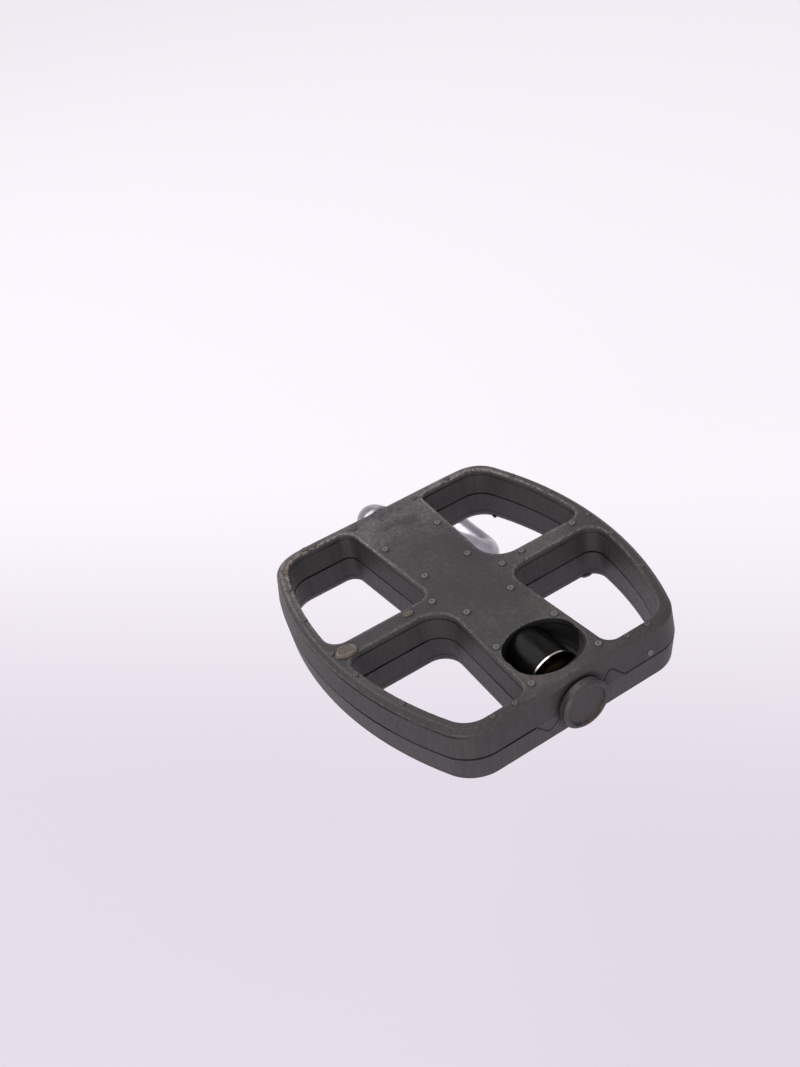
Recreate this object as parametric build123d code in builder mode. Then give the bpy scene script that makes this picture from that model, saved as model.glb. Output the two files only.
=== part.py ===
"""Right-hand pedal of a child's kart on its bent crank rod.

Frame: +X forward, +Y inboard, +Z up, in mm. The origin is on the crank's axle,
at the shoulder where its straight journal starts. Stations s run outboard from
the pedal's inner edge, and the pedal's own plan is drawn about the pin's line.
"""
import math
import os

from build123d import *

os.makedirs("parts", exist_ok=True)

# crank rod: pin, arm and journal bent from one bar
ROD_D = 12.0
THROW = 80.0
ARM_ANGLE = 43.0
BEND_R = 11.0
JOURNAL_L = 44.0
ROD_CHAMFER = 1.2

# pedal in plan, on the parting plane
PEDAL_L = 119.2
INNER_VERTEX_X = 45.8
OUTER_VERTEX_X = 42.0
PEDAL_HALF_W = 58.5
WIDEST_SHARE = 0.47
OUTLINE_R = 15.0
RIM_W = 5.8
WEB_HALF_END = 16.8
WEB_HALF_MID = 13.6
CROSSBAR_W = 8.0
WEB_CORNER_R = (4.0, 9.0, 9.0, 7.0)
RIM_CORNER_R = 5.0
END_CORNER_R = 4.0

# pedal in height, one half
HALF_T = 11.0
WALL_DRAFT = 6.0
WINDOW_DRAFT = 3.5
EDGE_W = 1.5

# tongues that key the two halves at the outer wall
TONGUE_FOOT_X = 18.0
TONGUE_TIP_X = 12.5
TONGUE_TIP_HALF = 0.8
TONGUE_ROOT_X = 7.2
TONGUE_H = 5.0
TONGUE_T = 3.0

# bearings and what holds the pedal on the pin
RUN_GAP = 0.06
INNER_BUSH_WALL = 2.5
INNER_BUSH_L = 14.0
OUTER_BUSH_WALL = 3.75
OUTER_BUSH_L = 25.0
BORE_RELIEF = 1.2
END_PLAY = 0.3
WASHER_W = 3.0
WASHER_T = 1.6
CAP_LIP = 0.25
CAP_FLANGE_T = 0.6
CAP_DOME_WALL = 1.5
CAP_DOME_L = 2.9
CAP_DOME_EDGE = 1.0
CAP_WALL = 0.8
CAP_ROOM = 0.8

# sight window over the cap, and the plug that closes the bore
SIGHT_W = 27.0
SIGHT_L = 20.0
SIGHT_END_EASE = 1.5
SIGHT_WALL = 9.9
LIP_DEPTH = 4.5
LIP_RUN = 4.0
PLUG_FACE_D = 18.0
PLUG_BODY_D = 12.4
PLUG_PROUD = 3.0
PLUG_RIM = 1.5
PLUG_DISH = 0.7
PLUG_EDGE_W = 0.7

# places worked from the sizes above
ARM_Y = -BEND_R
PIN_ROOT_Y = ARM_Y - BEND_R
PIN_X = -THROW * math.cos(math.radians(ARM_ANGLE))
PIN_Z = THROW * math.sin(math.radians(ARM_ANGLE))
PEDAL_IN_Y = PIN_ROOT_Y - WASHER_T - END_PLAY
CROSSBAR_S = PEDAL_L / 2
WIDEST_S = PEDAL_L * WIDEST_SHARE
INNER_BUSH_OD = ROD_D + 2 * INNER_BUSH_WALL
OUTER_BUSH_OD = ROD_D + 2 * OUTER_BUSH_WALL
WASHER_OD = ROD_D + 2 * WASHER_W
CAP_FLANGE_D = OUTER_BUSH_OD + 2 * CAP_LIP
CAP_DOME_D = ROD_D + 2 * CAP_DOME_WALL
# from the outer wall inboard: window, cap with its room, then the outer bush
SIGHT_END_S = PEDAL_L - SIGHT_WALL
SIGHT_S = SIGHT_END_S - SIGHT_L / 2
CAP_END_S = SIGHT_END_S - CAP_ROOM
CAP_S = CAP_END_S - CAP_DOME_L - CAP_FLANGE_T
PIN_END_S = CAP_END_S - CAP_WALL - CAP_DOME_EDGE
OUTER_BUSH_S = CAP_S - END_PLAY - OUTER_BUSH_L


def at(s):
    """Y of a station s."""
    return PEDAL_IN_Y - s


def across(s, x=0.0, z=0.0):
    """Plane square to the pin at station s, facing outboard, x and z off its line."""
    return Plane(origin=(x, at(s), z), x_dir=(1, 0, 0), z_dir=(0, -1, 0))


def on_pin(s):
    """The same plane on the pin's own line in the frame."""
    return across(s, PIN_X, PIN_Z)


def web_half(s):
    """Half width of the waisted web at station s."""
    run = CROSSBAR_S if s < CROSSBAR_S else PEDAL_L - CROSSBAR_S
    return WEB_HALF_MID + (WEB_HALF_END - WEB_HALF_MID) * abs(s - CROSSBAR_S) / run


def pedal_outline(inset=0.0):
    """Barrel-sided outline of the pedal in plan, drawn in by inset."""
    inner = (INNER_VERTEX_X, at(0))
    outer = (OUTER_VERTEX_X, at(PEDAL_L))
    with BuildSketch(Plane.XY) as sk:
        with BuildLine():
            Line((-outer[0], outer[1]), outer)
            ThreePointArc(outer, (PEDAL_HALF_W, at(WIDEST_S)), inner)
            Line(inner, (-inner[0], inner[1]))
            ThreePointArc(
                (-inner[0], inner[1]), (-PEDAL_HALF_W, at(WIDEST_S)), (-outer[0], outer[1])
            )
        make_face()
        fillet(sk.vertices(), OUTLINE_R)
        if inset:
            offset(amount=-inset, kind=Kind.ARC)
    return sk.sketch


def window(side, outboard, web_corner_r):
    """One foot window in plan, between the rim, the web and the crossbar."""
    step = 1 if outboard else -1
    near = CROSSBAR_S + step * CROSSBAR_W / 2
    far = PEDAL_L + RIM_W if outboard else -RIM_W
    with BuildSketch(Plane.XY) as sk:
        with BuildLine():
            Polyline(
                (side * web_half(near), at(near)),
                (side * 2 * PEDAL_HALF_W, at(near)),
                (side * 2 * PEDAL_HALF_W, at(far)),
                (side * web_half(far), at(far)),
                close=True,
            )
        make_face()
        add(pedal_outline(RIM_W), mode=Mode.INTERSECT)
        by_rim = sk.vertices().sort_by(lambda v: abs(v.X))
        at_bar = [v for v in by_rim if abs(v.Y - at(near)) < 0.01]
        end = [v for v in by_rim if abs(v.X) < WEB_HALF_END + RIM_W and v not in at_bar]
        fillet(at_bar[0], web_corner_r)
        at_bar = [v for v in sk.vertices() if abs(v.Y - at(near)) < 0.01]
        fillet(sorted(at_bar, key=lambda v: -abs(v.X))[0], RIM_CORNER_R)
        end = [v for v in sk.vertices() if abs(v.Y - end[0].Y) < 0.01]
        fillet(sorted(end, key=lambda v: abs(v.X))[0], END_CORNER_R)
    return sk.sketch


def sight_oval(z):
    """Four-centre oval of the sight window on a level plane at height z."""
    a, b = SIGHT_W / 2, SIGHT_L / 2
    r = b - SIGHT_END_EASE
    big = ((a - r) ** 2 + b**2 - r**2) / (2 * (b - r))
    lean = math.atan2(a - r, big - b)
    x, y = a - r + r * math.sin(lean), r * math.cos(lean)
    with BuildSketch(Plane((0, at(SIGHT_S), z))) as sk:
        with BuildLine():
            ThreePointArc((-x, y), (0, b), (x, y))
            ThreePointArc((x, y), (a, 0), (x, -y))
            ThreePointArc((x, -y), (0, -b), (-x, -y))
            ThreePointArc((-x, -y), (-a, 0), (-x, y))
        make_face()
    return sk.sketch


def tongue_profile():
    """Face of one tongue on the outer wall, standing over the parting plane."""
    with BuildSketch(across(PEDAL_L + 1)) as sk:
        with BuildLine():
            Polyline(
                (TONGUE_FOOT_X, 0),
                (TONGUE_TIP_X + TONGUE_TIP_HALF, TONGUE_H),
                (TONGUE_TIP_X - TONGUE_TIP_HALF, TONGUE_H),
                (TONGUE_ROOT_X, 0),
                close=True,
            )
        make_face()
    return sk.sketch


with BuildPart() as plain_half:
    extrude(-pedal_outline().face(), amount=HALF_T, dir=(0, 0, 1), taper=WALL_DRAFT)

with BuildPart() as tongue:
    with BuildSketch(across(PEDAL_L + 1)):
        add(tongue_profile())
    extrude(amount=-TONGUE_T - 1)
    add(plain_half.part, mode=Mode.INTERSECT)

with BuildPart() as half_shell:
    add(plain_half.part)
    chamfer(half_shell.faces().sort_by(Axis.Z)[-1].outer_wire().edges(), EDGE_W)
    for side, outboard, corner in (
        (-1, False, WEB_CORNER_R[0]), (1, False, WEB_CORNER_R[1]),
        (-1, True, WEB_CORNER_R[2]), (1, True, WEB_CORNER_R[3]),
    ):
        opening = window(side, outboard, corner).face()
        extrude(
            opening, amount=HALF_T, dir=(0, 0, 1), taper=-WINDOW_DRAFT, mode=Mode.SUBTRACT
        )
    extrude(sight_oval(0).face(), amount=HALF_T, dir=(0, 0, 1), mode=Mode.SUBTRACT)
    # sloped lip on the window's outboard side
    extrude(
        sight_oval(HALF_T - LIP_DEPTH).face(), amount=math.hypot(LIP_RUN, LIP_DEPTH) * 1.5,
        dir=(0, -LIP_RUN, LIP_DEPTH), mode=Mode.SUBTRACT,
    )
    # bore along the pin: bush seats with a relief between them, then cap and plug
    for start, stop, bore_d in (
        (0, INNER_BUSH_L, INNER_BUSH_OD),
        (INNER_BUSH_L, OUTER_BUSH_S, ROD_D + 2 * BORE_RELIEF),
        (OUTER_BUSH_S, OUTER_BUSH_S + OUTER_BUSH_L, OUTER_BUSH_OD),
        (OUTER_BUSH_S + OUTER_BUSH_L, CAP_END_S + CAP_ROOM, CAP_FLANGE_D + 2 * CAP_ROOM),
        (CAP_END_S + CAP_ROOM, PEDAL_L + 1, PLUG_BODY_D),
    ):
        with BuildSketch(across(start)):
            Circle(bore_d / 2)
        extrude(amount=stop - start, mode=Mode.SUBTRACT)
    add(tongue.part, mode=Mode.SUBTRACT)
    add(Rot(0, 180, 0) * tongue.part)

with BuildPart() as pedal_upper_half:
    add(Pos(PIN_X, 0, PIN_Z) * half_shell.part)
pedal_upper_half.part.label = "pedal_upper_half"

with BuildPart() as pedal_lower_half:
    add(Pos(PIN_X, 0, PIN_Z) * Rot(0, 180, 0) * half_shell.part)
pedal_lower_half.part.label = "pedal_lower_half"

with BuildPart() as bearing_bush_inner:
    with BuildSketch(on_pin(0)):
        Circle(INNER_BUSH_OD / 2)
        Circle(ROD_D / 2 + RUN_GAP, mode=Mode.SUBTRACT)
    extrude(amount=INNER_BUSH_L)
bearing_bush_inner.part.label = "bearing_bush_inner"

with BuildPart() as bearing_bush_outer:
    with BuildSketch(on_pin(OUTER_BUSH_S)):
        Circle(OUTER_BUSH_OD / 2)
        Circle(ROD_D / 2 + RUN_GAP, mode=Mode.SUBTRACT)
    extrude(amount=OUTER_BUSH_L)
bearing_bush_outer.part.label = "bearing_bush_outer"

with BuildPart() as end_plug:
    with BuildSketch(on_pin(PEDAL_L)):
        Circle(PLUG_FACE_D / 2)
    extrude(amount=PLUG_PROUD)
    chamfer(end_plug.faces().sort_by(Axis.Y)[0].edges(), PLUG_EDGE_W)
    with BuildSketch(on_pin(PEDAL_L + PLUG_PROUD)):
        Circle(PLUG_FACE_D / 2 - PLUG_RIM)
    extrude(amount=-PLUG_DISH, mode=Mode.SUBTRACT)
    with BuildSketch(on_pin(PEDAL_L)):
        Circle(PLUG_BODY_D / 2)
    extrude(amount=SIGHT_END_S - PEDAL_L)
end_plug.part.label = "end_plug"

with BuildPart() as crank_rod:
    with BuildLine():
        FilletPolyline(
            (PIN_X, at(PIN_END_S), PIN_Z), (PIN_X, ARM_Y, PIN_Z), (0, ARM_Y, 0),
            (0, JOURNAL_L, 0), radius=BEND_R,
        )
    with BuildSketch(on_pin(PIN_END_S)):
        Circle(ROD_D / 2)
    sweep()
    chamfer(crank_rod.faces().sort_by(Axis.Y)[0].edges(), ROD_CHAMFER)
    chamfer(crank_rod.faces().sort_by(Axis.Y)[-1].edges(), ROD_CHAMFER)
crank_rod.part.label = "crank_rod"

with BuildPart() as thrust_washer:
    with BuildSketch(on_pin(-END_PLAY - WASHER_T)):
        Circle(WASHER_OD / 2)
        Circle(ROD_D / 2, mode=Mode.SUBTRACT)
    extrude(amount=WASHER_T)
thrust_washer.part.label = "thrust_washer"

with BuildPart() as push_on_cap:
    with BuildSketch(on_pin(CAP_S)):
        Circle(CAP_FLANGE_D / 2)
    extrude(amount=CAP_FLANGE_T)
    with BuildSketch(on_pin(CAP_S + CAP_FLANGE_T)):
        Circle(CAP_DOME_D / 2)
    extrude(amount=CAP_DOME_L)
    chamfer(push_on_cap.faces().sort_by(Axis.Y)[0].edges(), CAP_DOME_EDGE)
    with BuildSketch(on_pin(CAP_S)):
        Circle(ROD_D / 2)
    extrude(amount=PIN_END_S - CAP_S, mode=Mode.SUBTRACT)
push_on_cap.part.label = "push_on_cap"

for piece in (
    crank_rod, thrust_washer, push_on_cap, pedal_upper_half, pedal_lower_half,
    bearing_bush_inner, bearing_bush_outer, end_plug,
):
    export_step(piece.part, f"parts/{piece.part.label}.step")
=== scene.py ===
"""Looks of the right-hand pedal of a child's kart on its bent crank rod.

The CAD frame is +X forward, +Y inboard and +Z up, in metres, with the origin on
the crank's axle. Plan stations s run outboard from the pedal's inner edge, and
the pedal's own plan is drawn about the pin's line, in millimetres.
"""

import logging
import math
from dataclasses import dataclass
from enum import Enum
from typing import Any

import bpy
import numpy as np
from bpy.types import Material, Node, NodeTree, Object
from mathutils import Matrix, Vector


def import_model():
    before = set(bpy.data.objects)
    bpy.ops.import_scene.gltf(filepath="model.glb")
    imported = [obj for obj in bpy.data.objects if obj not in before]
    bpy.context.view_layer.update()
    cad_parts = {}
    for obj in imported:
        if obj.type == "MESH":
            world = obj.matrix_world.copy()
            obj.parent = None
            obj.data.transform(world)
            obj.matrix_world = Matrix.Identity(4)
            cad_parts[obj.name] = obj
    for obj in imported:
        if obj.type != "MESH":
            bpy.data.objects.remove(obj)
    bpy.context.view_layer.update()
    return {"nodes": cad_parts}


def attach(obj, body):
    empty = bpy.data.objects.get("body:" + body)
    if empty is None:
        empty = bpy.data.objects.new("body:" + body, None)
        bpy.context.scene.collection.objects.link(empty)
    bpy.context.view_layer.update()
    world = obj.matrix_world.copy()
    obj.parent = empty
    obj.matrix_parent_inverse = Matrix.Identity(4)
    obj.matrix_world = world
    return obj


LOG = logging.getLogger("pedal")
MM = 0.001

# kinds of node, the settings of an eased range and a colour mix, and the mix's two colours
MATH = "ShaderNodeMath"
VECTOR = "ShaderNodeVectorMath"
SPLIT = "ShaderNodeSeparateXYZ"
PLACES = "ShaderNodeTexCoord"
STRETCH = "ShaderNodeMapping"
NOISE = "ShaderNodeTexNoise"
RANGE = "ShaderNodeMapRange"
EASED = {"interpolation_type": "SMOOTHSTEP"}
MIX = "ShaderNodeMix"
RGBA = {"data_type": "RGBA"}
COLOR_A, COLOR_B = 6, 7
BEVEL = "ShaderNodeBevel"
BUMP = "ShaderNodeBump"
RAYS = "ShaderNodeLightPath"
BLEND = "ShaderNodeMixShader"
SHADER = "ShaderNodeBsdfPrincipled"
SURFACE = "ShaderNodeOutputMaterial"


def linear(code: str) -> tuple[float, float, float, float]:
    """Turn an sRGB hex value into Blender's linear colour.

    Args:
        code: Six hex digits with or without a leading hash.

    Returns:
        Linear red, green, blue and an alpha of 1.
    """
    code = code.lstrip("#")
    parts = [int(code[i:i + 2], 16) / 255 for i in (0, 2, 4)]
    lin = [c / 12.92 if c <= 0.04045 else ((c + 0.055) / 1.055) ** 2.4 for c in parts]
    return (*lin, 1.0)


def per_metre(feature_mm: float) -> float:
    """Noise scale whose features are about this many millimetres across."""
    return 1.0 / (feature_mm * MM)


def add_node(
    tree: NodeTree,
    kind: str,
    settings: dict[Any, Any] | None = None,
    links: dict[Any, Any] | None = None,
) -> Node:
    """Add one node with its settings and the sockets that feed it.

    Args:
        tree: Node tree that the node goes into.
        kind: Blender's type name of the node.
        settings: Property names or input sockets and their values.
        links: Input sockets and what they read: an output socket, or a node
            for the first output that it has in use.

    Returns:
        The new node.
    """
    node = tree.nodes.new(kind)
    for key, value in (settings or {}).items():
        if isinstance(key, str) and hasattr(node, key):
            setattr(node, key, value)
        else:
            node.inputs[key].default_value = value
    for key, source in (links or {}).items():
        if isinstance(source, Node):
            source = next(output for output in source.outputs if output.enabled)
        tree.links.new(source, node.inputs[key])
    return node


def new_material(name: str) -> tuple[Material, NodeTree]:
    """Make a node material with nothing in it yet.

    Args:
        name: Name of the material.

    Returns:
        The material and its tree.
    """
    material = bpy.data.materials.new(name)
    material.use_nodes = True
    material.node_tree.nodes.clear()
    return material, material.node_tree


def mesh_object(
    name: str, points: np.ndarray, faces: list[list[int]], smooth: bool = True,
) -> Object:
    """Put worked-out points and faces into a mesh object at the origin.

    Args:
        name: Name of the piece.
        points: N by 3 array in metres.
        faces: Point numbers of each face.
        smooth: Whether the faces are shaded smooth.

    Returns:
        The linked object.
    """
    mesh = bpy.data.meshes.new(name)
    mesh.from_pydata(points.tolist(), [], faces)
    mesh.polygons.foreach_set("use_smooth", np.full(len(mesh.polygons), smooth))
    mesh.update()
    made = bpy.data.objects.new(name, mesh)
    bpy.context.scene.collection.objects.link(made)
    return made


def ring_walls(rings: int, sides: int) -> np.ndarray:
    """Join closed rings of points, where ring i's point j is number i * sides + j.

    Args:
        rings: How many rings there are.
        sides: How many points a ring has.

    Returns:
        M by 4 array of point numbers.
    """
    i, j = np.meshgrid(np.arange(rings - 1), np.arange(sides), indexing="ij")
    k = (j + 1) % sides
    corners = [i * sides + j, i * sides + k, (i + 1) * sides + k, (i + 1) * sides + j]
    return np.stack(corners, axis=-1).reshape(-1, 4)


def dress(node: Object, material: Material) -> None:
    """Give a piece or a CAD node one material in all its slots.

    Args:
        node: The piece or the CAD node.
        material: What it is made of.
    """
    slots = node.data.materials
    if not slots:
        slots.append(material)
    for number in range(len(slots)):
        slots[number] = material


class Half(Enum):
    """Which of the pedal's two equal mouldings a piece sits on."""

    UPPER = 1
    LOWER = -1


@dataclass
class PedalPlan:
    """Plan and height of the pedal, as the solids have them, in millimetres."""

    pin_x: float = -58.508
    pin_z: float = 54.560
    inner_y: float = -23.9
    length: float = 119.2
    half_thickness: float = 11.0
    inner_half: float = 45.8
    outer_half: float = 42.0
    widest_half: float = 58.5
    widest_s: float = 56.024
    wall_draft: float = 6.0
    sight_s: float = 99.3
    sight_half_w: float = 13.5
    sight_half_l: float = 10.0

    def y_at(self, s: float) -> float:
        """Y of a station s, in metres."""
        return (self.inner_y - s) * MM

    def place(self, plan: np.ndarray, half: Half) -> np.ndarray:
        """Take points off the pin's line into the frame.

        The lower moulding is the upper one turned half a turn about the pin,
        so its x and its height change sign and its station stays.

        Args:
            plan: N by 3 array of x, station and height over the pin, in mm.
            half: The moulding that the points belong to.

        Returns:
            N by 3 array in metres.
        """
        sign = half.value
        out = np.empty_like(plan, dtype=float)
        out[:, 0] = self.pin_x + sign * plan[:, 0]
        out[:, 1] = self.inner_y - plan[:, 1]
        out[:, 2] = self.pin_z + sign * plan[:, 2]
        return out * MM

    def side_arc(self, inset: float, s: np.ndarray) -> np.ndarray:
        """Half width at stations s of the barrel side drawn in by inset.

        The side is one circle through the inner corner, the widest point and
        the outer corner, so a line drawn in by inset has that much less radius.

        Args:
            inset: Distance in from the outline.
            s: Stations.

        Returns:
            Half widths.
        """
        a = np.array([self.inner_half, 0.0])
        b = np.array([self.widest_half, self.widest_s])
        c = np.array([self.outer_half, self.length])
        m = 2 * np.array([b - a, c - b])
        centre = np.linalg.solve(m, np.array([b @ b - a @ a, c @ c - b @ b]))
        radius = np.linalg.norm(a - centre) - inset
        return centre[0] + np.sqrt(radius**2 - (s - centre[1]) ** 2)


@dataclass
class PedalField:
    """Nodes that say where on the pedal a point is, and the noises on it."""

    tree: NodeTree
    plan: PedalPlan
    grain_mm: float = 0.45
    cloud_mm: float = 24.0
    speck_mm: float = 1.1
    streak_mm: float = 1.3
    streak_draw: float = 0.08

    def __post_init__(self) -> None:
        """Add the nodes that every layer of a finish reads."""
        tree, plan = self.tree, self.plan
        coord = add_node(tree, PLACES)
        self.place = coord.outputs["Object"]
        xyz = add_node(tree, SPLIT, links={0: self.place})
        facing = add_node(tree, SPLIT, links={0: coord.outputs["Normal"]})
        self.y = xyz.outputs["Y"]
        self.facing_x = facing.outputs["X"]
        self.facing_y = facing.outputs["Y"]
        self.level = add_node(tree, MATH, {"operation": "ABSOLUTE"}, {0: facing.outputs["Z"]})

        # height off the parting plane, and distance off the pin's line in plan and all round
        self.above = add_node(
            tree, MATH, {"operation": "SUBTRACT", 1: plan.pin_z * MM}, {0: xyz.outputs["Z"]})
        self.off = add_node(tree, MATH, {"operation": "ABSOLUTE"}, {0: self.above})
        self.beside = add_node(
            tree, MATH, {"operation": "SUBTRACT", 1: plan.pin_x * MM}, {0: xyz.outputs["X"]})
        self.aside = add_node(tree, MATH, {"operation": "ABSOLUTE"}, {0: self.beside})
        pin = (plan.pin_x * MM, 0.0, plan.pin_z * MM)
        self.from_pin = add_node(tree, VECTOR, {"operation": "SUBTRACT", 1: pin}, {0: self.place})

        self.clouds = add_node(
            tree, NOISE, {"Scale": per_metre(self.cloud_mm), "Detail": 5.0, "Roughness": 0.62},
            {"Vector": self.place})
        self.specks = add_node(
            tree, NOISE, {"Scale": per_metre(self.speck_mm), "Detail": 5.0, "Roughness": 0.68},
            {"Vector": self.place})
        drawn = add_node(tree, STRETCH, {"Scale": (1.0, 1.0, self.streak_draw)}, {"Vector": self.place})
        self.streaks = add_node(
            tree, NOISE, {"Scale": per_metre(self.streak_mm), "Detail": 4.0, "Roughness": 0.6},
            {"Vector": drawn})
        self.grain = add_node(
            tree, NOISE, {"Scale": per_metre(self.grain_mm), "Detail": 2.0, "Roughness": 0.5},
            {"Vector": self.place})
        # 1 at the pedal's inner end and 0 from its middle outboard
        self.inner = add_node(
            tree, RANGE, {**EASED, "From Min": plan.y_at(60), "From Max": plan.y_at(2)}, {"Value": self.y})


@dataclass(kw_only=True)
class MouldedField(PedalField):
    """Where each layer of a moulding's finish lies, as masks from 0 to 1.

    The shading normal turns over edge_mm at every sharp edge, and hardly at
    all where two mouldings meet. The masks of the edges are the cosine between
    a rounded and the flat normal, stretched to 0 to 1.
    """

    finish: "RubberyPlastic"

    def __post_init__(self) -> None:
        """Add the nodes for the places, and then for the treads and edges."""
        super().__post_init__()
        tree, edge = self.tree, self.finish.edge_mm * MM
        self.tread = add_node(
            tree, RANGE, {**EASED, "From Min": 0.6, "From Max": 0.95, "To Max": 0.52}, {"Value": self.level})
        radius, away = {}, {}
        if self.finish.joined:
            radius["Radius"] = add_node(
                tree, RANGE,
                {"From Min": 0.6 * MM, "From Max": 2.0 * MM, "To Min": 0.12 * MM, "To Max": edge},
                {"Value": self.off})
            away["To Max"] = add_node(
                tree, RANGE, {**EASED, "From Min": 6.0 * MM, "From Max": 9.5 * MM}, {"Value": self.off})
        self.rounded = add_node(tree, BEVEL, {"samples": 6, "Radius": edge}, radius)
        wide = add_node(tree, BEVEL, {"samples": 6, "Radius": self.finish.rim_mm * MM})
        self.flat = add_node(tree, "ShaderNodeNewGeometry").outputs["True Normal"]
        turned = add_node(tree, VECTOR, {"operation": "DOT_PRODUCT"}, {0: self.rounded, 1: self.flat})
        leaning = add_node(tree, VECTOR, {"operation": "DOT_PRODUCT"}, {0: wide, 1: self.flat})
        self.edge = add_node(
            tree, RANGE, {**EASED, "From Min": 0.995, "From Max": 0.82}, {"Value": turned, **away})
        self.rim = add_node(
            tree, RANGE, {**EASED, "From Min": 0.999, "From Max": 0.86}, {"Value": leaning, **away})

    def find_dust_and_sheen(self) -> Node:
        """Find where dust lies on the faces that feet touch, with a painted sheen at the inner end.

        Clouds broken up by specks lie thickest at the inner end, where the extra paleness is also
        a painted sheen, and thick on the web by the sight window and round one place of the front bar.

        Returns:
            The mask, 0 to 1.
        """
        tree, plan = self.tree, self.plan
        x, s = self.finish.dusty_bar
        bar = ((plan.pin_x + x) * MM, plan.y_at(s), (plan.pin_z + plan.half_thickness) * MM)
        from_bar = add_node(tree, VECTOR, {"operation": "DISTANCE", 1: bar}, {0: self.place})
        on_web = add_node(
            tree, RANGE, {"From Min": 22 * MM, "From Max": 16 * MM, "To Max": self.finish.web_dust},
            {"Value": self.aside})
        by_window = add_node(
            tree, RANGE, {"From Min": plan.y_at(66), "From Max": plan.y_at(90)},
            {"Value": self.y, "To Max": on_web})
        on_bar = add_node(
            tree, RANGE, {"From Min": 8 * MM, "From Max": 24 * MM, "To Min": self.finish.bar_dust},
            {"Value": from_bar, "To Max": by_window})
        faint = add_node(tree, MATH, {"operation": "MULTIPLY_ADD", 1: 0.5}, {0: self.clouds, 2: on_bar})
        broken = add_node(tree, MATH, {"operation": "MULTIPLY_ADD", 1: 0.5}, {0: self.specks, 2: faint})
        more = add_node(
            tree, MATH, {"operation": "MULTIPLY_ADD", 1: self.finish.end_dust_and_sheen}, {0: self.inner, 2: broken})
        return add_node(
            tree, RANGE, {**EASED, "From Min": 0.46, "From Max": 0.98}, {"Value": more, "To Max": self.tread})

    def find_patches(self) -> Node:
        """Find the pale patches on the first 30 mm.

        Returns:
            The mask, 0 to 1.
        """
        tree, plan = self.tree, self.plan
        blots = add_node(
            tree, NOISE, {"Scale": per_metre(self.finish.blot_mm), "Detail": 5.0, "Roughness": 0.7},
            {"Vector": self.place})
        at_end = add_node(
            tree, RANGE, {**EASED, "From Min": plan.y_at(38), "From Max": plan.y_at(6)},
            {"Value": self.y, "To Max": self.tread})
        return add_node(tree, RANGE, {"From Min": 0.38, "From Max": 0.60}, {"Value": blots, "To Max": at_end})

    def find_worn_rims(self) -> Node:
        """Find the narrow rims and bars that feet rub pale, most at the inner end.

        Returns:
            The mask, 0 to 1.
        """
        tree, plan = self.tree, self.plan
        outer, inner = (share * self.finish.wear for share in self.finish.worn_ends)
        worn_by = add_node(
            tree, RANGE,
            {"From Min": plan.y_at(108), "From Max": plan.y_at(0), "To Min": outer, "To Max": inner},
            {"Value": self.y})
        return add_node(tree, MATH, {"operation": "MULTIPLY"}, {0: self.rim, 1: worn_by})

    def find_scuffs(self) -> Node:
        """Find the scuffed edges, worst at the inner corners.

        Returns:
            The mask, 0 to 1.
        """
        tree = self.tree
        corner = add_node(
            tree, RANGE, {"From Min": 30 * MM, "From Max": 48 * MM, "To Min": 0.45, "To Max": 1.0},
            {"Value": self.aside})
        share = add_node(
            tree, MATH, {"operation": "MULTIPLY_ADD", 2: self.finish.scuffs}, {0: corner, 1: self.inner})
        return add_node(tree, MATH, {"operation": "MULTIPLY"}, {0: self.edge, 1: share})

    def find_bare_corners(self) -> Node:
        """Find the plastic rubbed raw round the two inner corners, more at the rear one.

        Returns:
            The mask, 0 to 1.
        """
        tree, plan = self.tree, self.plan
        by_corner = add_node(
            tree, RANGE, {**EASED, "From Min": 24 * MM, "From Max": 40 * MM},
            {"Value": self.aside, "To Max": self.rim})
        in_corner = add_node(
            tree, RANGE, {**EASED, "From Min": plan.y_at(36), "From Max": plan.y_at(10)},
            {"Value": self.y, "To Max": by_corner})
        rear, front = (share * self.finish.wear for share in self.finish.bare_sides)
        bare_by = add_node(
            tree, RANGE, {"From Min": -10 * MM, "From Max": 10 * MM, "To Min": rear, "To Max": front},
            {"Value": self.beside})
        return add_node(tree, MATH, {"operation": "MULTIPLY"}, {0: in_corner, 1: bare_by})

    def find_mud(self) -> Node:
        """Find the mud on the lower front edge of a round piece on the pin's line.

        Returns:
            The mask, 0 to 1.
        """
        tree, way = self.tree, self.finish.mud_way
        ahead_low = add_node(tree, VECTOR, {"operation": "DOT_PRODUCT", 1: way}, {0: self.from_pin})
        return add_node(
            tree, RANGE, {"From Min": 5.0 * MM, "From Max": 7.5 * MM, "To Max": 0.75}, {"Value": ahead_low})

    def find_rear_wall(self) -> Node:
        """Find the inner wall of the rear rim, where dust lies.

        Returns:
            The mask, 0 to 1.
        """
        tree = self.tree
        in_rim = add_node(
            tree, RANGE, {"From Min": -35 * MM, "From Max": -37 * MM, "To Max": 0.45}, {"Value": self.beside})
        return add_node(
            tree, RANGE, {"From Min": 0.5, "From Max": 0.7}, {"Value": self.facing_x, "To Max": in_rim})

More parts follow.
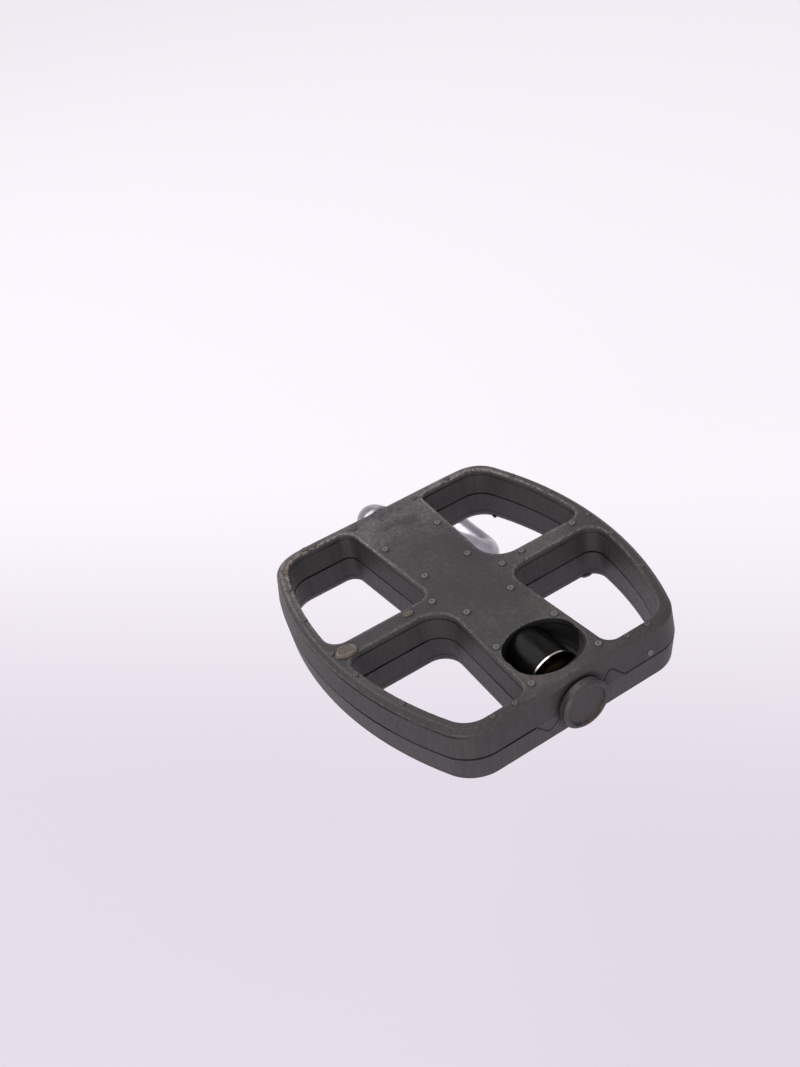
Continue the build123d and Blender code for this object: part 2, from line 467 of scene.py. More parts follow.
    def find_seam(self) -> Node:
        """Find the dark line where the two mouldings meet.

        It follows their tongues by the edge itself, and elsewhere it is a plain
        band at the parting plane, fainter where the mouldings are tight.

        Returns:
            The mask, 0 to 1.
        """
        tree, plan = self.tree, self.plan
        near = add_node(
            tree, RANGE,
            {**EASED, "From Min": 6.0 * MM, "From Max": 9.5 * MM, "To Min": 1.0, "To Max": 0.0},
            {"Value": self.off})
        half, faded = self.finish.seam_mm * MM, self.finish.seam_fade * self.finish.seam_mm * MM
        fine = add_node(tree, BEVEL, {"samples": 6, "Radius": 2 * half})
        met = add_node(tree, VECTOR, {"operation": "DOT_PRODUCT"}, {0: fine, 1: self.flat})
        by_edge = add_node(tree, RANGE, {"From Min": 0.99, "From Max": 0.955}, {"Value": met, "To Max": near})
        past_tongue = add_node(
            tree, MATH, {"operation": "GREATER_THAN", 1: self.finish.tongues_mm * MM}, {0: self.aside})
        inboard = add_node(tree, MATH, {"operation": "GREATER_THAN", 1: plan.y_at(112)}, {0: self.y})
        plain = add_node(tree, MATH, {"operation": "MAXIMUM"}, {0: past_tongue, 1: inboard})
        tight = add_node(
            tree, RANGE, {"From Min": 0.40, "From Max": 0.55, "To Min": 0.4, "To Max": 1.0},
            {"Value": self.clouds})
        here = add_node(tree, MATH, {"operation": "MULTIPLY"}, {0: plain, 1: tight})
        by_band = add_node(
            tree, RANGE, {"From Min": half, "From Max": faded, "To Max": 0.0},
            {"Value": self.off, "To Min": here})
        return add_node(tree, MATH, {"operation": "MAXIMUM"}, {0: by_edge, 1: by_band})

    def find_lip_shadow(self) -> Node:
        """Find the line of painted shadow under the lip on every wall but the two end walls.

        Returns:
            The mask, 0 to 1.
        """
        tree, plan = self.tree, self.plan
        depth = add_node(tree, MATH, {"operation": "SUBTRACT", 1: self.finish.lip_shadow_mm * MM}, {0: self.off})
        beyond = add_node(tree, MATH, {"operation": "ABSOLUTE"}, {0: depth})
        past_inner = add_node(
            tree, RANGE, {"From Min": plan.y_at(5), "From Max": plan.y_at(2), "To Min": 1.0, "To Max": 0.0},
            {"Value": self.y})
        between = add_node(
            tree, RANGE, {"From Min": plan.y_at(117), "From Max": plan.y_at(113)},
            {"Value": self.y, "To Max": past_inner})
        uneven = add_node(
            tree, RANGE, {"From Min": 0.40, "From Max": 0.58, "To Min": 0.32, "To Max": 0.9},
            {"Value": self.clouds})
        sunk = add_node(tree, MATH, {"operation": "MULTIPLY"}, {0: between, 1: uneven})
        # the painted shadow is fainter on the lower moulding
        deep = add_node(
            tree, RANGE, {"From Min": -1 * MM, "From Max": 1 * MM, "To Min": 0.45, "To Max": 1.0},
            {"Value": self.above})
        there = add_node(tree, MATH, {"operation": "MULTIPLY"}, {0: sunk, 1: deep})
        return add_node(
            tree, RANGE, {**EASED, "From Min": 0.12 * MM, "From Max": 0.55 * MM, "To Max": 0.0},
            {"Value": beyond, "To Min": there})

    def find_sight_window_shade(self) -> Node:
        """Find the walls of the sight window, which is an oval in plan, to be painted dark as shade.

        Returns:
            The mask, 0 to 1.
        """
        tree, plan = self.tree, self.plan
        middle = (plan.pin_x * MM, plan.y_at(plan.sight_s), 0.0)
        halves = (1 / (plan.sight_half_w * MM), 1 / (plan.sight_half_l * MM), 0.0)
        centred = add_node(tree, VECTOR, {"operation": "SUBTRACT", 1: middle}, {0: self.place})
        scaled = add_node(tree, VECTOR, {"operation": "MULTIPLY", 1: halves}, {0: centred})
        share = add_node(tree, VECTOR, {"operation": "LENGTH"}, {0: scaled})
        within = add_node(
            tree, RANGE, {"From Min": 1.03, "From Max": 1.06, "To Min": 0.92, "To Max": 0.0},
            {"Value": share})
        return add_node(
            tree, RANGE, {"From Min": 0.3, "From Max": 0.5, "To Max": 0.0},
            {"Value": self.level, "To Min": within})

    def find_plug_seat_shade(self) -> Node:
        """Find the outer wall round the end plug, which is painted dark as shade where the plug meets it.

        Returns:
            The mask, 0 to 1.
        """
        tree, plan = self.tree, self.plan
        in_plane = add_node(tree, VECTOR, {"operation": "MULTIPLY", 1: (1.0, 0.0, 1.0)}, {0: self.from_pin})
        out_by = add_node(tree, VECTOR, {"operation": "LENGTH"}, {0: in_plane})
        on_wall = add_node(
            tree, RANGE, {"From Min": plan.y_at(115.5), "From Max": plan.y_at(117.5), "To Max": 0.75},
            {"Value": self.y})
        return add_node(
            tree, RANGE, {**EASED, "From Min": 8.8 * MM, "From Max": 11.4 * MM, "To Max": 0.0},
            {"Value": out_by, "To Min": on_wall})


@dataclass(frozen=True)
class RubberyPlastic:
    """Injection-moulded polypropylene with rubber in it, scuffed in use.

    It gives a near-black matt skin with a broad soft sheen, greyer where dust
    lies in the grain, and paler brown-grey where its edges have worn. Painted shade darkens
    the sight window's walls, the wall round the plug and a line under the lip, and a painted
    sheen pales the inner end.
    """

    base: str = "#383434"
    dark: str = "#2D2929"
    dust: str = "#7B777E"
    silt: str = "#877B70"
    patch: str = "#8A827F"
    worn: str = "#968F8B"
    scuffed: str = "#A59A92"
    raw: str = "#AE9B8B"
    mud: str = "#5A463E"
    # near-black painted shade for the sight window's walls and the wall round the plug
    painted_recess_shade: str = "#0F0D0E"
    seam: str = "#0B0A0C"
    roughness: float = 0.50
    ior: float = 1.49
    edge_mm: float = 0.9
    rim_mm: float = 2.6
    blot_mm: float = 9.0
    seam_mm: float = 0.34
    seam_fade: float = 1.45
    lip_shadow_mm: float = 8.6
    joined: bool = True
    muddy: bool = False
    wear: float = 1.0
    worn_ends: tuple[float, float] = (0.03, 0.95)
    bare_sides: tuple[float, float] = (0.8, 0.3)
    scuffs: float = 0.38
    # how much more dust lies at the inner end, where it also paints a sheen, on the web and on the front bar
    end_dust_and_sheen: float = 0.11
    web_dust: float = 0.08
    bar_dust: float = 0.18
    dusty_bar: tuple[float, float] = (33.0, 59.5)
    mud_way: tuple[float, float, float] = (0.44, 0.0, -0.90)
    tongues_mm: float = 18.3

    def build(self, plan: PedalPlan, name: str) -> Material:
        """Make the moulding's material, one layer over another.

        Args:
            plan: The pedal's plan, which says where its edges and seam lie.
            name: What is moulded, for the material's name.

        Returns:
            The material.
        """
        material, tree = new_material(f"moulded_rubbery_polypropylene_{name}")
        field = MouldedField(tree, plan, finish=self)
        drawn = add_node(tree, RANGE, {"From Min": 0.30, "From Max": 0.70}, {"Value": field.streaks})
        skin = add_node(
            tree, MIX, {**RGBA, COLOR_A: linear(self.dark), COLOR_B: linear(self.base)}, {0: drawn})
        brown = add_node(tree, RANGE, {"From Min": 0.46, "From Max": 0.58}, {"Value": field.clouds})
        dust = add_node(
            tree, MIX, {**RGBA, COLOR_A: linear(self.dust), COLOR_B: linear(self.silt)}, {0: brown})
        # dust in the dust's colours, and at the inner end a painted sheen as well
        colour = add_node(tree, MIX, RGBA, {0: field.find_dust_and_sheen(), COLOR_A: skin, COLOR_B: dust})
        # a layer's colour, the range of the specks that breaks it up, and where it lies
        broken_up = [
            (self.patch, 0.30, 0.60, field.find_patches()),
            (self.worn, 0.34, 0.66, field.find_worn_rims()),
            (self.scuffed, 0.47, 0.60, field.find_scuffs()),
            (self.raw, 0.41, 0.56, field.find_bare_corners()),
        ]
        if self.muddy:
            broken_up.append((self.mud, 0.40, 0.56, field.find_mud()))
        if self.joined:
            broken_up.append((self.dust, 0.38, 0.62, field.find_rear_wall()))
        layers = []
        for code, low, high, place in broken_up:
            mask = add_node(
                tree, RANGE, {"From Min": low, "From Max": high}, {"Value": field.specks, "To Max": place})
            layers.append((code, mask))
        shine = {}
        if self.joined:
            seam, lip_shadow = field.find_seam(), field.find_lip_shadow()
            # the seam is a dark joint; the rest is painted shade: a line under the lip, the sight window's
            # walls and the wall round the plug
            layers += [
                (self.seam, seam),
                # the seam's near-black also paints the shadow under the lip
                (self.seam, lip_shadow),
                (self.painted_recess_shade, field.find_sight_window_shade()),
                (self.painted_recess_shade, field.find_plug_seat_shade()),
            ]
            # neither the seam nor the painted shadow under the lip shines
            gap = add_node(tree, MATH, {"operation": "MAXIMUM"}, {0: seam, 1: lip_shadow})
            shine["Specular IOR Level"] = add_node(
                tree, RANGE, {"To Min": 0.5, "To Max": 0.03}, {"Value": gap})
        for code, mask in layers:
            colour = add_node(tree, MIX, {**RGBA, COLOR_B: linear(code)}, {0: mask, COLOR_A: colour})
        rough = add_node(
            tree, RANGE,
            {"From Min": 0.3, "From Max": 0.7,
             "To Min": self.roughness - 0.06, "To Max": self.roughness + 0.12},
            {"Value": field.specks})
        bump = add_node(
            tree, BUMP, {"Strength": 0.25, "Distance": 0.12 * MM},
            {"Height": field.grain, "Normal": field.rounded})
        rubbed = add_node(
            tree, BUMP, {"Strength": 0.3, "Distance": 0.3 * MM}, {"Height": field.specks, "Normal": bump})
        shader = add_node(
            tree, SHADER, {"IOR": self.ior},
            {"Base Color": colour, "Roughness": rough, "Normal": rubbed, **shine})
        add_node(tree, SURFACE, links={"Surface": shader})
        return material


@dataclass(frozen=True)
class RubbedPipsPaintedLight:
    """The moulding's plastic on its grip pips, rubbed by shoes.

    It gives pale rings where the tops are rubbed and carry a painted highlight,
    and dirt with painted shade in the dimples and at the feet.
    """

    # pale tops: rubbed plastic with a painted highlight
    rubbed: str = "#6B6564"
    dirt_and_shade: str = "#29262A"
    low_mm: float = 0.34
    high_mm: float = 0.58
    roughness: float = 0.5
    ior: float = 1.49

    def build(self, plan: PedalPlan) -> Material:
        """Make the pips' material.

        Args:
            plan: The pedal's plan, whose faces the pips' heights count from.

        Returns:
            The material.
        """
        material, tree = new_material("rubbed_rubbery_polypropylene_pips")
        field = PedalField(tree, plan)
        face = plan.half_thickness
        # tops paler, rubbed and with a painted highlight; low parts darker, dirt and painted shade
        high = add_node(
            tree, RANGE, {"From Min": (face + self.low_mm) * MM, "From Max": (face + self.high_mm) * MM},
            {"Value": field.off})
        # the pip on the outer wall has no face under it and is pale all over, rubbed and with a painted
        # highlight
        on_wall = add_node(
            tree, RANGE, {"From Min": (face - 2) * MM, "From Max": (face - 1) * MM, "To Min": 1.0},
            {"Value": field.off, "To Max": high})
        broken = add_node(
            tree, RANGE, {"From Min": 0.30, "From Max": 0.55, "To Min": 0.3},
            {"Value": field.specks, "To Max": on_wall})
        colour = add_node(
            tree, MIX, {**RGBA, COLOR_A: linear(self.dirt_and_shade), COLOR_B: linear(self.rubbed)}, {0: broken})
        bump = add_node(tree, BUMP, {"Strength": 0.3, "Distance": 0.2 * MM}, {"Height": field.specks})
        shader = add_node(
            tree, SHADER, {"IOR": self.ior, "Roughness": self.roughness},
            {"Base Color": colour, "Normal": bump})
        add_node(tree, SURFACE, links={"Surface": shader})
        return material


@dataclass(frozen=True)
class TornGate:
    """The plastic where the sprue was cut off, torn and stained.

    It gives a rough ochre-grey scar with a paler lip, and a painted shadow at its
    foot on the outboard side.
    """

    scar: str = "#4C443D"
    pale: str = "#70645A"
    lip: str = "#978878"
    painted_foot_shadow: str = "#171413"
    tear_mm: float = 1.3
    lip_mm: tuple[float, float] = (12.1, 12.4)
    foot_mm: tuple[float, float] = (11.15, 11.35)
    roughness: float = 0.62
    ior: float = 1.49

    def build(self, plan: PedalPlan) -> Material:
        """Make the scar's material.

        Args:
            plan: The pedal's plan, whose parting plane the heights count from.

        Returns:
            The material.
        """
        material, tree = new_material("torn_polypropylene_gate")
        field = PedalField(tree, plan)
        tears = add_node(
            tree, NOISE, {"Scale": per_metre(self.tear_mm), "Detail": 6.0, "Roughness": 0.75},
            {"Vector": field.place})
        part = add_node(tree, RANGE, {"From Min": 0.32, "From Max": 0.72}, {"Value": tears})
        torn = add_node(
            tree, MIX, {**RGBA, COLOR_A: linear(self.scar), COLOR_B: linear(self.pale)}, {0: part})
        low, top = self.lip_mm
        high = add_node(
            tree, RANGE, {"From Min": low * MM, "From Max": top * MM, "To Max": 0.7}, {"Value": field.off})
        rimmed = add_node(tree, MIX, {**RGBA, COLOR_B: linear(self.lip)}, {0: high, COLOR_A: torn})
        # a painted shadow at the scar's foot on its outboard side
        outboard = add_node(
            tree, RANGE, {"From Min": 0.0, "From Max": -0.4, "To Max": 0.9}, {"Value": field.facing_y})
        low, top = self.foot_mm
        foot = add_node(
            tree, RANGE, {"From Min": low * MM, "From Max": top * MM, "To Max": 0.0},
            {"Value": field.off, "To Min": outboard})
        colour = add_node(tree, MIX, {**RGBA, COLOR_B: linear(self.painted_foot_shadow)}, {0: foot, COLOR_A: rimmed})
        bump = add_node(tree, BUMP, {"Strength": 0.4, "Distance": 0.4 * MM}, {"Height": tears})
        shader = add_node(
            tree, SHADER, {"Roughness": self.roughness, "IOR": self.ior},
            {"Base Color": colour, "Normal": bump})
        add_node(tree, SURFACE, links={"Surface": shader})
        return material


@dataclass(frozen=True)
class ZincPlate:
    """Bright electroplated zinc on drawn mild steel.

    It gives a silvery mirror softened by the bar's fine drawing lines, with
    faint cloudy patches where the plate has dulled.
    """

    name: str = "bright_zinc_plated_steel"
    bright: str = "#B2AFB6"
    dull: str = "#8F8C93"
    roughness: float = 0.30
    cloud_mm: float = 9.0
    line_mm: float = 0.5

    def build(self) -> Material:
        """Make the plated steel's material.

        Returns:
            The material.
        """
        material, tree = new_material(self.name)
        place = add_node(tree, PLACES).outputs["Object"]
        clouds = add_node(
            tree, NOISE, {"Scale": per_metre(self.cloud_mm), "Detail": 5.0, "Roughness": 0.65},
            {"Vector": place})
        along = add_node(tree, STRETCH, {"Scale": (1.0, 0.05, 1.0)}, {"Vector": place})
        lines = add_node(tree, NOISE, {"Scale": per_metre(self.line_mm), "Detail": 2.0}, {"Vector": along})
        tone = add_node(tree, RANGE, {"From Min": 0.35, "From Max": 0.65}, {"Value": clouds})
        colour = add_node(
            tree, MIX, {**RGBA, COLOR_A: linear(self.dull), COLOR_B: linear(self.bright)}, {0: tone})
        rough = add_node(
            tree, RANGE,
            {"From Min": 0.3, "From Max": 0.7,
             "To Min": self.roughness + 0.12, "To Max": self.roughness - 0.04},
            {"Value": clouds})
        bump = add_node(tree, BUMP, {"Strength": 0.08, "Distance": 0.04 * MM}, {"Height": lines})
        shader = add_node(
            tree, SHADER, {"Metallic": 1.0}, {"Base Color": colour, "Roughness": rough, "Normal": bump})
        add_node(tree, SURFACE, links={"Surface": shader})
        return material


@dataclass(frozen=True)
class PressedBrass:
    """Thin spring brass, pressed, blackened with old grease and darkened further as painted shade, its rim
    rubbed bright.

    It gives a dark brown dish, partly painted shade, with fine turning marks
    round its axis, and a pale gold line where the rim runs against the bush.
    """

    bright: str = "#E8DCCC"
    greased_and_shaded: str = "#1E1713"
    tarnish_and_shade: str = "#21170F"
    rim_from_mm: float = 9.65
    rim_fade_mm: float = 0.15
    ring_mm: float = 0.35
    smear_mm: float = 4.0

    def build(self, plan: PedalPlan) -> Material:
        """Make the cap's material.

        Args:
            plan: The pedal's plan, whose pin the turning marks run round.

        Returns:
            The material.
        """
        material, tree = new_material("greased_spring_brass")
        place = add_node(tree, PLACES).outputs["Object"]
        to_pin = (-plan.pin_x * MM, 0.0, -plan.pin_z * MM)
        centred = add_node(tree, STRETCH, {"Location": to_pin, "Scale": (1.0, 0.0, 1.0)}, {"Vector": place})
        out_from_pin = add_node(tree, VECTOR, {"operation": "LENGTH"}, {0: centred})
        rings = add_node(
            tree, NOISE, {"noise_dimensions": "1D", "Scale": per_metre(self.ring_mm), "Detail": 2.0},
            {"W": out_from_pin})
        clouds = add_node(tree, NOISE, {"Scale": per_metre(self.smear_mm), "Detail": 4.0}, {"Vector": place})
        tone = add_node(tree, RANGE, {"From Min": 0.4, "From Max": 0.7}, {"Value": clouds})
        # the dish's near-black is grease and tarnish, darkened further as painted shade
        dish = add_node(
            tree, MIX, {**RGBA, COLOR_A: linear(self.greased_and_shaded), COLOR_B: linear(self.tarnish_and_shade)}, {0: tone})
        inside, outside = self.rim_from_mm - self.rim_fade_mm, self.rim_from_mm + self.rim_fade_mm
        rubbed = add_node(
            tree, RANGE, {"From Min": inside * MM, "From Max": outside * MM}, {"Value": out_from_pin})
        colour = add_node(tree, MIX, {**RGBA, COLOR_B: linear(self.bright)}, {0: rubbed, COLOR_A: dish})
        rough = add_node(tree, RANGE, {"To Min": 0.45, "To Max": 0.2}, {"Value": rubbed})
        bump = add_node(tree, BUMP, {"Strength": 0.15, "Distance": 0.05 * MM}, {"Height": rings})
        shader = add_node(
            tree, SHADER, {"Metallic": 1.0}, {"Base Color": colour, "Roughness": rough, "Normal": bump})
        add_node(tree, SURFACE, links={"Surface": shader})
        return material


@dataclass(frozen=True)
class GlossNylon:
    """Black moulded nylon, worn shiny and greased.

    It gives a deep black with sharp soft-edged highlights and a thin uneven
    film of grease that dulls it in places.
    """

    colour: str = "#0B0A0C"
    film: str = "#16120F"
    roughness: float = 0.20
    ior: float = 1.20
    smear_mm: float = 3.0

    def build(self) -> Material:
        """Make the bushes' material.

        Returns:
            The material.
        """
        material, tree = new_material("greased_black_nylon")
        place = add_node(tree, PLACES).outputs["Object"]
        smear = add_node(
            tree, NOISE, {"Scale": per_metre(self.smear_mm), "Detail": 4.0, "Roughness": 0.7},
            {"Vector": place})
        part = add_node(tree, RANGE, {"From Min": 0.45, "From Max": 0.7, "To Max": 0.8}, {"Value": smear})
        colour = add_node(
            tree, MIX, {**RGBA, COLOR_A: linear(self.colour), COLOR_B: linear(self.film)}, {0: part})
        rough = add_node(
            tree, RANGE,
            {"From Min": 0.35, "From Max": 0.7, "To Min": self.roughness, "To Max": self.roughness + 0.25},
            {"Value": smear})
        bump = add_node(tree, BUMP, {"Strength": 0.1, "Distance": 0.08 * MM}, {"Height": smear})
        shader = add_node(
            tree, SHADER, {"IOR": self.ior}, {"Base Color": colour, "Roughness": rough, "Normal": bump})
        add_node(tree, SURFACE, links={"Surface": shader})
        return material


@dataclass
class MouldedRelief:
    """What stands up from a moulding and rides with the pedal."""

    plan: PedalPlan

    def carry(
        self, name: str, points: np.ndarray, faces: list[list[int]], half: Half,
        body: str, material: Material,
    ) -> Object:
        """Put one moulding's relief into the frame as a piece of its own.

        Args:
            name: What it is.
            points: N by 3 array of x, station and height over the pin, in mm.
            faces: Point numbers of each face.
            half: The moulding that carries it.
            body: The body that it rides on.
            material: What it is made of.

        Returns:
            The piece.
        """
        made = mesh_object(f"{name}_{half.name.lower()}", self.plan.place(points, half), faces)
        dress(made, material)
        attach(made, body)
        return made


@dataclass
class GripStuds(MouldedRelief):
    """Low round pips moulded on the faces that feet stand on."""

    diameter: float = 3.0
    height: float = 0.85
    dimple: float = 0.5
    dimple_share: float = 0.42
    sunk: float = 0.35
    rings: int = 7
    sides: int = 12
    rim_inset: float = 3.9
    rim_stations: tuple[float, ...] = (20.0, 37.5, 58.2, 72.0, 92.5)
    web_pairs: tuple[tuple[float, float], ...] = (
        (11.5, 24.4), (9.2, 46.5), (14.9, 59.4), (9.2, 71.7), (11.9, 91.8), (13.5, 112.1),
    )
    bar_pairs: tuple[tuple[float, float], ...] = ((22.5, 115.4), (31.0, 115.4), (13.6, 5.6), (30.0, 4.0))
    front_only: tuple[tuple[float, float], ...] = ((24.2, 58.3), (47.0, 58.4))
    rim_share: float = 0.8
    lower_share: float = 0.7
    wall_spot: tuple[float, float] = (29.0, 2.2)
    wall_share: float = 0.75

    def spots(self) -> np.ndarray:
        """Plan x, station and share of the full size of every pip on one moulding.

        Returns:
            N by 3 array in mm: the pairs either side of the pin's line, those
            on the barrel sides and end bars smaller, and the front bar's own.
        """
        s = np.array(self.rim_stations)
        rim = np.column_stack([self.plan.side_arc(self.rim_inset, s), s])
        small = np.insert(np.vstack([rim, self.bar_pairs]), 2, self.rim_share, axis=1)
        one = np.vstack([np.insert(self.web_pairs, 2, 1.0, axis=1), small])
        return np.vstack([one, one * [-1, 1, 1], np.insert(self.front_only, 2, 1.0, axis=1)])

    def build(self, half: Half, body: str, material: Material) -> Object:
        """Make the pips of one moulding as one piece.

        A pip is a shallow dome with a dimple: at radius r its height is h times
        the square root of 1 minus (r / R) squared, less a bell of depth d whose
        width is a share of R. Its rings close at one point in the middle, and a
        skirt goes down into the face. The lower moulding's are worn smaller.

        Args:
            half: The moulding that carries them.
            body: The body that they ride on.
            material: The moulding's material.

        Returns:
            The piece.
        """
        t = np.linspace(0, math.pi / 2, self.rings)
        r = np.append(self.diameter / 2, self.diameter / 2 * np.cos(t))[:-1]
        bell = self.dimple * np.exp(-((np.cos(t) / self.dimple_share) ** 2))
        z = np.append(-self.sunk, self.height * np.sin(t) - bell)[:-1]
        a = np.linspace(0, 2 * math.pi, self.sides, endpoint=False)
        ring = np.stack(
            [np.outer(r, np.cos(a)), np.outer(r, np.sin(a)), np.outer(z, np.ones_like(a))], axis=-1)
        one = np.vstack([ring.reshape(-1, 3), [[0.0, 0.0, self.height - self.dimple]]])
        spots = self.spots()
        centre = np.column_stack([spots[:, :2], np.full(len(spots), self.plan.half_thickness)])
        worn = 1.0 if half is Half.UPPER else self.lower_share
        sized = worn * spots[:, 2][:, None, None] * one[None, :, :] * [1, -1, 1]
        points = (centre[:, None, :] + sized).reshape(-1, 3)
        if half is Half.UPPER:
            # one more pip lies over on the outer wall, which leans in with height
            x, z = self.wall_spot
            foot = self.plan.length - z * math.tan(math.radians(self.plan.wall_draft))
            points = np.vstack([points, [x, foot, z] + self.wall_share * one[:, [0, 2, 1]]])
        wall = ring_walls(len(r), self.sides)
        j = np.arange(self.sides)
        last = (len(r) - 1) * self.sides
        top = np.stack([last + j, last + (j + 1) % self.sides, np.full(self.sides, len(one) - 1)], axis=-1)
        step = np.arange(0, len(points), len(one))[:, None, None]
        faces = (wall[None] + step).reshape(-1, 4).tolist() + (top[None] + step).reshape(-1, 3).tolist()
        return self.carry("grip_studs", points, faces, half, body, material)


@dataclass
class MouldingScars(MouldedRelief):
    """Lumps left on a moulding where its gates were cut and its flash tore."""

    spots: tuple[tuple[float, float, float, float, float, float], ...] = (
        # x, station, half length, half width, height and turn in degrees
        (-50.3, 60.9, 4.3, 2.9, 1.0, 8.0),
        (-24.6, 58.9, 2.2, 1.5, 0.5, 12.0),
        (-45.7, 10.4, 1.9, 1.1, 0.6, 68.0),
        (-33.5, 3.9, 1.7, 1.0, 0.5, 5.0),
    )
    wavers: tuple[tuple[float, int, float, float], ...] = (
        # share of the radius, lobes, phase for each further lump and first phase
        (0.03, 3, 1.0, 0.0),
        (0.025, 5, 2.1, 0.0),
        (0.02, 9, 0.0, 1.7),
    )
    lip: float = 0.6
    lip_at: float = 0.8
    lip_width: float = 0.12
    ripple: float = 0.08
    sunk: float = 0.3
    rings: int = 12
    sides: int = 40

    def build(self, half: Half, body: str, material: Material) -> Object:
        """Make one moulding's lumps as one piece.

        A lump is a flat-topped oval: at share u of the way out from its middle
        its height is h times (1 - u to the 6th) with a raised rim bump of
        lip times h round u = lip_at, rippled all round, and its edge is sunk
        into the face. Its radius wavers with the angle by a sum of three
        sines, so that it looks torn.

        Args:
            half: The moulding that carries them.
            body: The body that they ride on.
            material: The torn plastic's material.

        Returns:
            The piece.
        """
        u = np.linspace(0, 1, self.rings + 1)[1:, None]
        a = np.linspace(0, 2 * math.pi, self.sides, endpoint=False)
        rise = 1 - u**6 + self.lip * np.exp(-(((u - self.lip_at) / self.lip_width) ** 2))
        rippled = rise * (1 + self.ripple * np.sin(4 * a + 12 * u))
        j = np.arange(self.sides)
        middle = self.rings * self.sides
        # stations run against y, so this winding faces outwards
        wall = ring_walls(self.rings, self.sides)
        hub = np.stack([np.full(self.sides, middle), (j + 1) % self.sides, j], axis=-1)
        points, faces = [], []
        for number, (x, s, long, wide, high, turn) in enumerate(self.spots):
            waves = [share * np.sin(n * a + step * number + first) for share, n, step, first in self.wavers]
            r = u * (1 + sum(waves))
            z = self.plan.half_thickness + high * rippled - self.sunk * u**8
            c, d = math.cos(math.radians(turn)), math.sin(math.radians(turn))
            e, f = long * r * np.cos(a), wide * r * np.sin(a)
            ring = np.stack([x + c * e - d * f, s + d * e + c * f, z], axis=-1)
            points += [ring.reshape(-1, 3), [[x, s, self.plan.half_thickness + high]]]
            start = number * (middle + 1)
            faces += (wall + start).tolist() + (hub + start).tolist()
        return self.carry("gate_scars", np.vstack(points), faces, half, body, material)


@dataclass
class Pedal:
    """The pedal that turns on the pin: two mouldings, bushes and end plug."""

    plan: PedalPlan
    body: str = "pedal"

    def build(self, nodes: dict[str, Object]) -> list[Object]:
        """Dress the CAD nodes and add what is moulded on them.

        Args:
            nodes: CAD nodes by name.

        Returns:
            The new pieces.
        """
        made = []
        torn = TornGate().build(self.plan)
        pips = RubbedPipsPaintedLight().build(self.plan)
        for half, name in ((Half.UPPER, "pedal_upper_half"), (Half.LOWER, "pedal_lower_half")):
            dress(nodes[name], RubberyPlastic().build(self.plan, half.name.lower()))
            made.append(GripStuds(self.plan).build(half, self.body, pips))
            made.append(MouldingScars(self.plan).build(half, self.body, torn))
        plug = RubberyPlastic(joined=False, muddy=True, wear=1.3, scuffs=0.5, edge_mm=0.35, rim_mm=0.9)
        dress(nodes["end_plug"], plug.build(self.plan, "plug"))
        nylon = GlossNylon().build()
        dress(nodes["bearing_bush_inner"], nylon)
        dress(nodes["bearing_bush_outer"], nylon)
        return made


@dataclass
class Crank:
    """The bent rod with the washer and the cap that hold the pedal on it."""

    plan: PedalPlan

    def build(self, nodes: dict[str, Object]) -> None:
        """Dress the rod, the washer and the cap.

        Args:
            nodes: CAD nodes by name.
        """
        washer = ZincPlate(name="dull_zinc_plated_washer", roughness=0.34, cloud_mm=5.0)
        dress(nodes["crank_rod"], ZincPlate().build())
        dress(nodes["thrust_washer"], washer.build())
        dress(nodes["push_on_cap"], PressedBrass().build(self.plan))


@dataclass
class Viewpoint:
    """Camera that stands where the photograph was taken from."""

    place: tuple[float, float, float] = (-0.2275, -0.3659, 0.3435)
    right: tuple[float, float, float] = (0.8277, -0.5448, -0.1345)
    down: tuple[float, float, float] = (-0.4263, -0.4545, -0.7821)
    ahead: tuple[float, float, float] = (0.365, 0.7047, -0.6084)
    lens: float = 56.25
    sensor: float = 36.0
    near: float = 0.01

    def build(self) -> Object:
        """Make the camera and make it the scene's own.

        Returns:
            The camera.
        """
        data = bpy.data.cameras.new("camera")
        data.sensor_fit = "HORIZONTAL"
        data.sensor_width = self.sensor
        data.lens = self.lens
        data.clip_start = self.near
        camera = bpy.data.objects.new("camera", data)
        bpy.context.scene.collection.objects.link(camera)
        axes = Matrix([self.right, [-v for v in self.down], [-v for v in self.ahead]]).transposed()
        camera.matrix_world = Matrix.Translation(self.place) @ axes.to_4x4()
        bpy.context.scene.camera = camera
        return camera


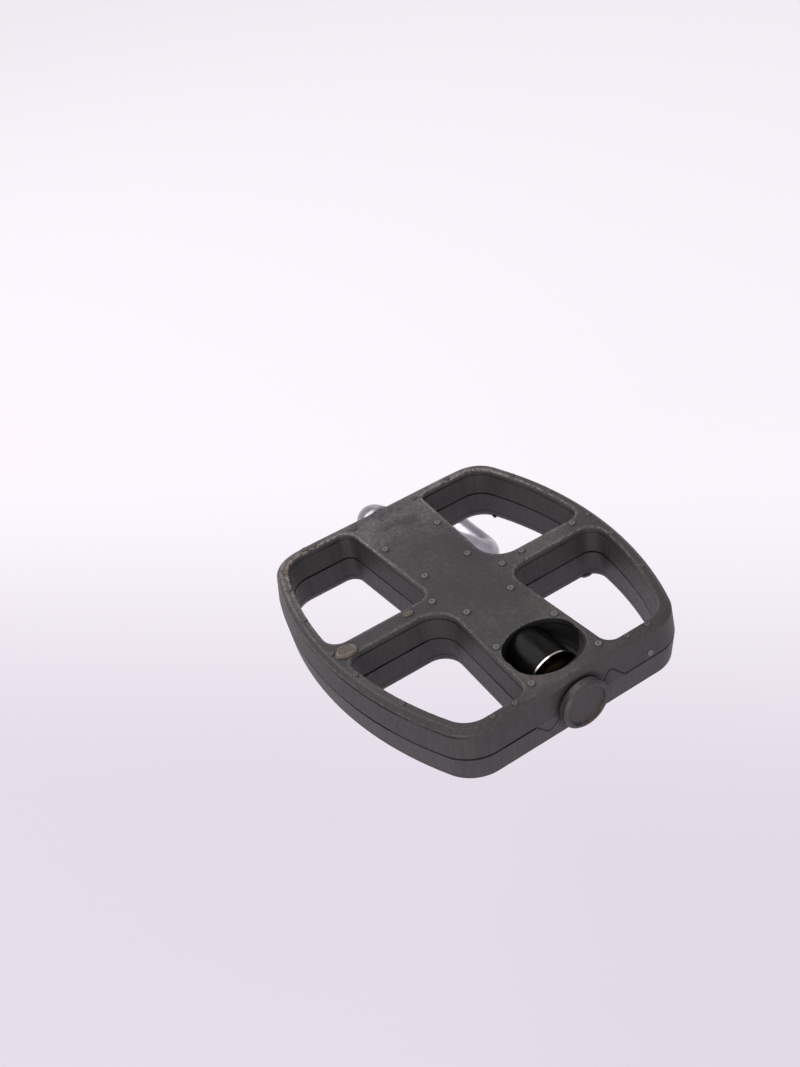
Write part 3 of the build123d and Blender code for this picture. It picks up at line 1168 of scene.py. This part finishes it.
@dataclass
class Studio:
    """Pale floor, soft lamps and plain world light."""

    floor_z: float = -0.13
    floor_half: float = 40.0
    floor: str = "#E5DEE8"
    floor_lit: str = "#FFF9FF"
    own_glow: float = 0.7
    world: str = "#EEEEF6"
    world_strength: float = 0.55
    lamps: tuple[tuple[str, tuple[float, float, float], float, float], ...] = (
        # name, place, diameter in metres and power in watts
        ("key", (-0.35, 0.75, 1.1), 1.2, 9.0),
        ("fill", (0.35, -0.9, 0.9), 0.9, 2.2),
        ("corner", (-0.8, -0.7, 0.3), 0.6, 5.2),
    )
    target: tuple[float, float, float] = (-0.0585, -0.083, 0.055)

    def build(self) -> None:
        """Make the floor, the lamps and the world."""
        self.build_floor()
        self.hang_lamps()
        self.light_world()

    def hang_lamps(self) -> None:
        """Hang the round lamps, each turned to the pedal's middle."""
        for name, place, size, power in self.lamps:
            data = bpy.data.lights.new(name, "AREA")
            data.shape = "DISK"
            data.size = size
            data.energy = power
            lamp = bpy.data.objects.new(name, data)
            bpy.context.scene.collection.objects.link(lamp)
            lamp.location = place
            lamp.rotation_euler = (Vector(self.target) - Vector(place)).to_track_quat("-Z", "Y").to_euler()

    def light_world(self) -> None:
        """Light the part evenly from all round, before a backdrop that is seen as white."""
        world = bpy.data.worlds.new("studio")
        world.use_nodes = True
        bpy.context.scene.world = world
        tree = world.node_tree
        tree.nodes.clear()
        rays = add_node(tree, RAYS)
        lit = add_node(
            tree, "ShaderNodeBackground", {"Color": linear(self.world), "Strength": self.world_strength})
        seen = add_node(tree, "ShaderNodeBackground", {"Color": linear("#FFFFFF"), "Strength": 1.0})
        mix = add_node(tree, BLEND, links={0: rays.outputs["Is Camera Ray"], 1: lit, 2: seen})
        add_node(tree, "ShaderNodeOutputWorld", links={"Surface": mix})

    def build_floor(self) -> Object:
        """Make the floor, whose own colour shows and which keeps a soft shadow.

        Returns:
            The floor.
        """
        half = self.floor_half
        corners = np.array([[-half, -half], [half, -half], [half, half], [-half, half]])
        points = np.insert(corners, 2, self.floor_z, axis=1)
        floor = mesh_object("floor", points, [[0, 1, 2, 3]], smooth=False)
        material, tree = new_material("matt_paper_floor")
        rays = add_node(tree, RAYS).outputs
        direct = add_node(
            tree, MATH, {"operation": "MAXIMUM"}, {0: rays["Is Camera Ray"], 1: rays["Is Glossy Ray"]})
        either = add_node(tree, MATH, {"operation": "MAXIMUM"}, {0: direct, 1: rays["Is Transmission Ray"]})
        part = add_node(tree, MATH, {"operation": "MULTIPLY", 1: self.own_glow}, {0: either})
        place = add_node(tree, PLACES).outputs["Object"]
        # the floor pales across one diagonal: a painted wash of light
        across = add_node(tree, VECTOR, {"operation": "DOT_PRODUCT", 1: (1.0, 1.0, 0.0)}, {0: place})
        lit = add_node(tree, RANGE, {**EASED, "From Min": -0.08, "From Max": 0.34}, {"Value": across})
        tone = add_node(
            tree, MIX, {**RGBA, COLOR_A: linear(self.floor), COLOR_B: linear(self.floor_lit)}, {0: lit})
        paper = add_node(tree, "ShaderNodeBsdfDiffuse", links={"Color": tone})
        glow = add_node(tree, "ShaderNodeEmission", {"Strength": 1.0}, {"Color": tone})
        mix = add_node(tree, BLEND, links={0: part, 1: paper, 2: glow})
        add_node(tree, SURFACE, links={"Surface": mix})
        dress(floor, material)
        return floor


def main() -> None:
    """Load the frame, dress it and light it."""
    logging.basicConfig(level=logging.INFO, format="%(name)s: %(message)s")
    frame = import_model()
    nodes = frame["nodes"]
    plan = PedalPlan()
    Viewpoint().build()
    Studio().build()
    Crank(plan).build(nodes)
    for piece in Pedal(plan).build(nodes):
        LOG.info("%s has %d faces", piece.name, len(piece.data.polygons))
    bpy.context.scene.view_settings.view_transform = "Standard"


if __name__ == "__main__":
    main()
